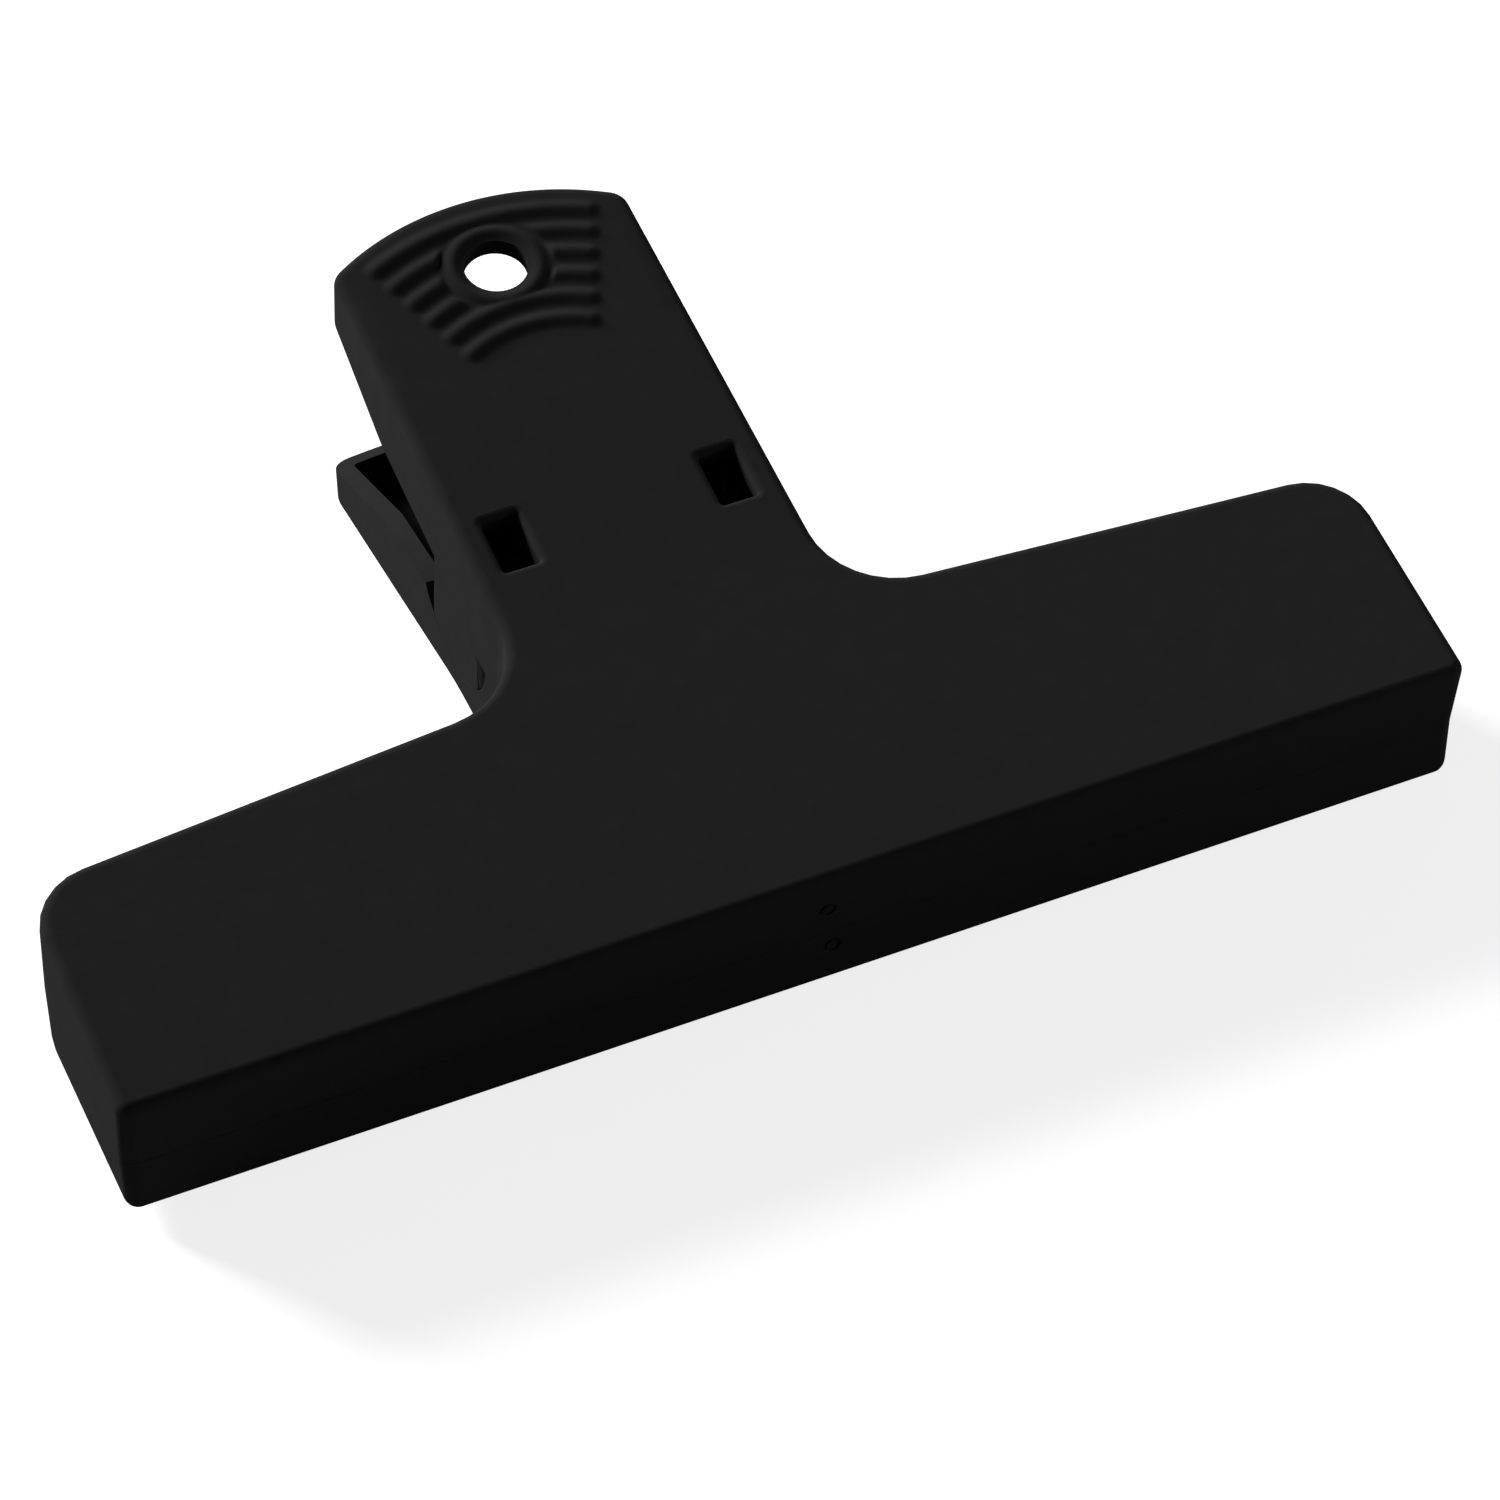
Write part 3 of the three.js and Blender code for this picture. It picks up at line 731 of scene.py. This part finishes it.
def lower_moulding():
    """The lower jaw with its handle. The lugs go on once the rim is cut, and are bored last."""
    piece = shell_block(LOWER_END, LOWER_BEND, LOWER_ROUND)
    combined(piece, [cavity(LOWER_END, LOWER_BEND)], "DIFFERENCE")
    combined(piece, [web(side * x, LOWER_BEND) for x in WEB_PLACES for side in (-1, 1)], "UNION")
    hole = round_bar("hole", HOLE_RADIUS, HOLE_STEPS, "Z", (0, HOLE_BACK, 0), LOWER_DRILL)
    combined(piece, [under_rim(LOWER_BEND, lower_rim), hole, gate_ring(*LOWER_GATE)], "DIFFERENCE")
    combined(piece, [lug(x) for x in (-LUG_ASIDE, LUG_ASIDE)], "UNION")
    bore = round_bar("bore", PIN_SEAT, 2 * PIVOT_STEPS, "X", (0, *LOWER_PIVOT), BORE_LENGTH)
    combined(piece, [bore], "DIFFERENCE")
    finish_moulding(piece, "lower_jaw", half_place("back_face"), "back_jaw", "lower_half", False)


# The pin and the spring.

def axle_pin():
    pivot = Vector(frame["joints"][0]["pos_m"])
    bm = bmesh.new()
    bmesh.ops.create_cone(bm, cap_ends=True, cap_tris=False, segments=2 * PIVOT_STEPS, radius1=PIN_RADIUS,
                          radius2=PIN_RADIUS, depth=2 * PIN_HALF)
    ends = [e for e in bm.edges if abs(e.verts[0].co.z - e.verts[1].co.z) < 1e-6]
    bmesh.ops.bevel(bm, geom=ends, offset=PIN_CHAMFER, offset_type="OFFSET", segments=3, profile=0.5,
                    affect="EDGES", material=-1)
    bmesh.ops.rotate(bm, verts=bm.verts[:], cent=(0, 0, 0), matrix=Matrix.Rotation(math.pi / 2, 3, "Y"))
    outward(bm)
    for f in bm.faces:
        f.smooth = len(f.verts) < CAP_SIDES
    bmesh.ops.transform(bm, matrix=Matrix.Translation(pivot) @ Matrix.Scale(MM, 4), verts=bm.verts[:])
    piece = new_piece("axle_pin", bm)
    piece.data.materials.append(drawn_steel("pin_steel", PIN_COLOR, PIN_ROUGHNESS))
    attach(piece, "back_jaw")
    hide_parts("pivot_pin")


def wound_spring():
    """The wire is drawn square to the plane where the halves meet, about the pivot, then laid in place."""
    def leg_end(bend, pivot):
        y = pivot[0] + LEG_REACH
        return from_half(y, lift(bend, y) - (WALL + LEG_FIT + WIRE_RADIUS) / math.cos(bend["angle"]))

    upper, lower = leg_end(UPPER_BEND, UPPER_PIVOT), leg_end(LOWER_BEND, LOWER_PIVOT)
    top = Vector((upper[0] - PIVOT_BACK, upper[1] - PIVOT_RAISE))
    bottom = Vector((lower[0] - PIVOT_BACK, -lower[1] - PIVOT_RAISE))
    first = math.atan2(top.y, top.x) + math.acos(COIL_RADIUS / top.length)
    last = math.atan2(bottom.y, bottom.x) - math.acos(COIL_RADIUS / bottom.length)
    while last - first < COIL_TURNS * 2 * math.pi:
        last += 2 * math.pi
    wound = last - first
    half_width = COIL_PITCH * wound / (4 * math.pi)
    steps = round(wound / COIL_STEP)

    bm = bmesh.new()
    bmesh.ops.create_circle(bm, cap_ends=False, segments=WIRE_SIDES, radius=WIRE_RADIUS)
    stand = Matrix.Rotation(first, 4, "X") @ Matrix.Translation((0, COIL_RADIUS, 0))
    bmesh.ops.transform(bm, matrix=Matrix.Translation((half_width, 0, 0)) @ stand, verts=bm.verts[:])
    start_loop = bm.edges[:]
    made = bmesh.ops.spin(bm, geom=start_loop, cent=(0, 0, 0), axis=(1, 0, 0), angle=wound, steps=steps,
                          dvec=(-2 * half_width / steps, 0, 0), use_duplicate=False)
    end_loop = [g for g in made["geom_last"] if isinstance(g, bmesh.types.BMEdge)]

    def leg(loop, angle, length):
        along = Vector((0, -math.sin(angle), math.cos(angle)))
        for _ in range(2):
            out = bmesh.ops.extrude_edge_only(bm, edges=loop)
            verts = [g for g in out["geom"] if isinstance(g, bmesh.types.BMVert)]
            loop = [g for g in out["geom"] if isinstance(g, bmesh.types.BMEdge)
                    and all(v in verts for v in g.verts)]
            bmesh.ops.translate(bm, verts=verts, vec=along * length / 2)
        cap = bmesh.ops.contextual_create(bm, geom=loop)["faces"]
        rim = [e for f in cap for e in f.edges]
        bmesh.ops.bevel(bm, geom=rim, offset=WIRE_END_ROUND, offset_type="OFFSET", segments=2, profile=0.5,
                        affect="EDGES", material=-1)

    top_reach = math.sqrt(top.length_squared - COIL_RADIUS ** 2)
    bottom_reach = math.sqrt(bottom.length_squared - COIL_RADIUS ** 2)
    leg([e for e in start_loop if e.is_valid], first, -top_reach)
    leg(end_loop, last, bottom_reach)
    outward(bm)
    for f in bm.faces:
        f.smooth = len(f.verts) < CAP_SIDES

    out = Vector(next(m for m in frame["record"]["mounts"] if m["name"] == "front_face")["axis"])
    tilt = math.atan2(-out.y, out.z) - JAW_WEDGE
    pivot = Vector(frame["joints"][0]["pos_m"])
    lay = Matrix.Translation(pivot) @ Matrix.Rotation(tilt, 4, "X") @ Matrix.Scale(MM, 4)
    bmesh.ops.transform(bm, matrix=lay, verts=bm.verts[:])
    piece = new_piece("wire_spring", bm)
    piece.data.materials.append(drawn_steel("spring_steel", SPRING_COLOR, SPRING_ROUGHNESS))
    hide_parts("torsion_spring")
    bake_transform(piece)


# The finishes. Noise scales are per metre and grain depths in metres, as the finished pieces are.

PLASTIC_TONES = ((0.0150, 0.0150, 0.0150, 1), (0.0164, 0.0164, 0.0164, 1))
# A darker colour for the inside faces: painted shade in the hollows.
PLASTIC_INSIDE_SHADE = (0.005, 0.005, 0.005, 1)
PLASTIC_ROUGHNESS = (0.5, 0.64)
TONE_SCALE = 420
POLISH_SCALE = 260
NOISE_MIDDLE = (0.3, 0.7)
GRAIN_SCALE = 3200
GRAIN_STRENGTH = 0.14
GRAIN_DEPTH = 0.00005

PIN_COLOR = (0.5, 0.5, 0.51, 1)
PIN_ROUGHNESS = 0.28
SPRING_COLOR = (0.42, 0.42, 0.44, 1)
SPRING_ROUGHNESS = 0.34
STEEL_SHADE = 0.82
STEEL_POLISH = (-0.06, 0.12)
DRAWN_SCALE = 1500
DRAWN_STRENGTH = 0.1
DRAWN_DEPTH = 0.00002


def material_nodes(name):
    material = bpy.data.materials.new(name)
    material.use_nodes = True
    tree = material.node_tree
    shader = next(n for n in tree.nodes if n.type == "BSDF_PRINCIPLED")
    return material, tree, shader


def black_plastic():
    """Matte black plastic with a fine grain, uneven in tone and polish, with painted shade that darkens its
    inside faces.
    """
    if "moulded_black_plastic" in bpy.data.materials:
        return bpy.data.materials["moulded_black_plastic"]
    material, tree, shader = material_nodes("moulded_black_plastic")
    nodes, links = tree.nodes, tree.links
    shader.inputs["Specular IOR Level"].default_value = 0
    where = nodes.new("ShaderNodeTexCoord").outputs["Object"]

    def noise(scale, detail):
        node = nodes.new("ShaderNodeTexNoise")
        node.inputs["Scale"].default_value = scale
        node.inputs["Detail"].default_value = detail
        node.inputs["Roughness"].default_value = 0.55
        links.new(where, node.inputs["Vector"])
        return node.outputs["Fac"]

    def spread(value, low, high):
        node = nodes.new("ShaderNodeMapRange")
        node.inputs["From Min"].default_value = NOISE_MIDDLE[0]
        node.inputs["From Max"].default_value = NOISE_MIDDLE[1]
        node.inputs["To Min"].default_value = low
        node.inputs["To Max"].default_value = high
        links.new(value, node.inputs["Value"])
        return node.outputs["Result"]

    tone = nodes.new("ShaderNodeMix")
    tone.data_type = "RGBA"
    tone.inputs["A"].default_value = PLASTIC_TONES[0]
    tone.inputs["B"].default_value = PLASTIC_TONES[1]
    links.new(spread(noise(TONE_SCALE, 4), 0, 1), tone.inputs["Factor"])

    # The inside faces are painted darker, as shade in the hollows.
    inside_shade = nodes.new("ShaderNodeMix")
    inside_shade.data_type = "RGBA"
    inside_shade.inputs["B"].default_value = PLASTIC_INSIDE_SHADE
    mark = nodes.new("ShaderNodeAttribute")
    mark.attribute_name = "inside"
    links.new(mark.outputs["Fac"], inside_shade.inputs["Factor"])
    links.new(tone.outputs["Result"], inside_shade.inputs["A"])
    links.new(inside_shade.outputs["Result"], shader.inputs["Base Color"])

    rough = spread(noise(POLISH_SCALE, 4), *PLASTIC_ROUGHNESS)
    links.new(rough, shader.inputs["Roughness"])
    links.new(rough, shader.inputs["Diffuse Roughness"])

    grain = nodes.new("ShaderNodeBump")
    grain.inputs["Strength"].default_value = GRAIN_STRENGTH
    grain.inputs["Distance"].default_value = GRAIN_DEPTH
    links.new(noise(GRAIN_SCALE, 2), grain.inputs["Height"])
    links.new(grain.outputs["Normal"], shader.inputs["Normal"])
    return material


def drawn_steel(name, color, roughness):
    """Bare drawn steel, uneven in tone and polish."""
    material, tree, shader = material_nodes(name)
    nodes, links = tree.nodes, tree.links
    shader.inputs["Metallic"].default_value = 1
    where = nodes.new("ShaderNodeTexCoord")
    lines = nodes.new("ShaderNodeTexNoise")
    lines.inputs["Scale"].default_value = DRAWN_SCALE
    lines.inputs["Detail"].default_value = 3
    links.new(where.outputs["Object"], lines.inputs["Vector"])
    tone = nodes.new("ShaderNodeMix")
    tone.data_type = "RGBA"
    tone.inputs["A"].default_value = tuple(STEEL_SHADE * c for c in color[:3]) + (1,)
    tone.inputs["B"].default_value = color
    links.new(lines.outputs["Fac"], tone.inputs["Factor"])
    links.new(tone.outputs["Result"], shader.inputs["Base Color"])
    rough = nodes.new("ShaderNodeMapRange")
    rough.inputs["To Min"].default_value = roughness + STEEL_POLISH[0]
    rough.inputs["To Max"].default_value = roughness + STEEL_POLISH[1]
    links.new(lines.outputs["Fac"], rough.inputs["Value"])
    links.new(rough.outputs["Result"], shader.inputs["Roughness"])
    bump = nodes.new("ShaderNodeBump")
    bump.inputs["Strength"].default_value = DRAWN_STRENGTH
    bump.inputs["Distance"].default_value = DRAWN_DEPTH
    links.new(lines.outputs["Fac"], bump.inputs["Height"])
    links.new(bump.outputs["Normal"], shader.inputs["Normal"])
    return material


# The table, the light and the camera, in metres.

TABLE_SIZE = 6
TABLE_LIT = (0.35, 0.35, 0.35, 1)
TABLE_SEEN = (0.22, 0.22, 0.22, 1)
TABLE_GLOW = 0.82
SURROUND_LIGHT = 0.08
BACK_LEFT_LAMP = dict(place=(-0.6, 0.99, 0.6), target=(0, 0, 0.02), size=0.5, energy=69)
RIGHT_LAMP = dict(place=(0.5, -0.22, 0.1), target=(0.05, -0.05, 0.01), size=0.2, energy=1.3)

# The camera as fitted to the photo: its lens on a 36 mm sensor, its place, and which way it is held.
CAMERA_LENS = 138.182
CAMERA_PLACE = (-0.161799, -0.440773, 0.435944)
CAMERA_RIGHT = (0.91632, -0.39900, -0.03416)
CAMERA_UP = (0.29649, 0.61863, 0.72759)
CAMERA_BACK = (-0.26918, -0.67683, 0.68516)


def seen_directly(tree):
    """1 for rays from the camera, off gloss or through glass, which see the white surround."""
    nodes, links = tree.nodes, tree.links
    path = nodes.new("ShaderNodeLightPath")
    first = nodes.new("ShaderNodeMath")
    first.operation = "MAXIMUM"
    links.new(path.outputs["Is Camera Ray"], first.inputs[0])
    links.new(path.outputs["Is Glossy Ray"], first.inputs[1])
    both = nodes.new("ShaderNodeMath")
    both.operation = "MAXIMUM"
    links.new(first.outputs[0], both.inputs[0])
    links.new(path.outputs["Is Transmission Ray"], both.inputs[1])
    return both.outputs[0]


def white_table():
    """A table that keeps the clip's shadow, light enough where it is seen to meet the white surround."""
    bm = bmesh.new()
    bmesh.ops.create_grid(bm, x_segments=1, y_segments=1, size=TABLE_SIZE)
    floor = new_piece("table", bm)
    material, tree, shader = material_nodes("pale_table")
    shader.inputs["Roughness"].default_value = 0.9
    shader.inputs["Specular IOR Level"].default_value = 0
    tone = tree.nodes.new("ShaderNodeMix")
    tone.data_type = "RGBA"
    tone.inputs["A"].default_value = TABLE_LIT
    tone.inputs["B"].default_value = TABLE_SEEN
    shown = seen_directly(tree)
    tree.links.new(shown, tone.inputs["Factor"])
    tree.links.new(tone.outputs["Result"], shader.inputs["Base Color"])
    shader.inputs["Emission Color"].default_value = (1, 1, 1, 1)
    glow = tree.nodes.new("ShaderNodeMapRange")
    glow.inputs["To Max"].default_value = TABLE_GLOW
    tree.links.new(shown, glow.inputs["Value"])
    tree.links.new(glow.outputs["Result"], shader.inputs["Emission Strength"])
    floor.data.materials.append(material)


def white_surround():
    """White to the eye, but only a faint light on the clip."""
    world = bpy.data.worlds.new("surround")
    bpy.context.scene.world = world
    world.use_nodes = True
    tree = world.node_tree
    back = next(n for n in tree.nodes if n.type == "BACKGROUND")
    back.inputs["Color"].default_value = (1, 1, 1, 1)
    level = tree.nodes.new("ShaderNodeMapRange")
    level.inputs["To Min"].default_value = SURROUND_LIGHT
    level.inputs["To Max"].default_value = 1
    tree.links.new(seen_directly(tree), level.inputs["Value"])
    tree.links.new(level.outputs["Result"], back.inputs["Strength"])


def soft_lamp(name, place, target, size, energy):
    lamp = bpy.data.lights.new(name, "AREA")
    lamp.shape = "SQUARE"
    lamp.size = size
    lamp.energy = energy
    obj = bpy.data.objects.new(name, lamp)
    obj.location = place
    obj.rotation_euler = (Vector(target) - Vector(place)).to_track_quat("-Z", "Y").to_euler()
    bpy.context.scene.collection.objects.link(obj)


def camera():
    data = bpy.data.cameras.new("camera")
    data.sensor_width = 36
    data.lens = CAMERA_LENS
    data.clip_start = 0.01
    obj = bpy.data.objects.new("camera", data)
    turn = Matrix((CAMERA_RIGHT, CAMERA_UP, CAMERA_BACK)).transposed().to_4x4()
    obj.matrix_world = Matrix.Translation(CAMERA_PLACE) @ turn
    bpy.context.scene.collection.objects.link(obj)
    bpy.context.scene.camera = obj


bpy.context.scene.view_settings.view_transform = "Standard"
camera()
upper_moulding()
lower_moulding()
axle_pin()
wound_spring()
white_table()
white_surround()
soft_lamp("back_left_lamp", **BACK_LEFT_LAMP)
soft_lamp("right_lamp", **RIGHT_LAMP)
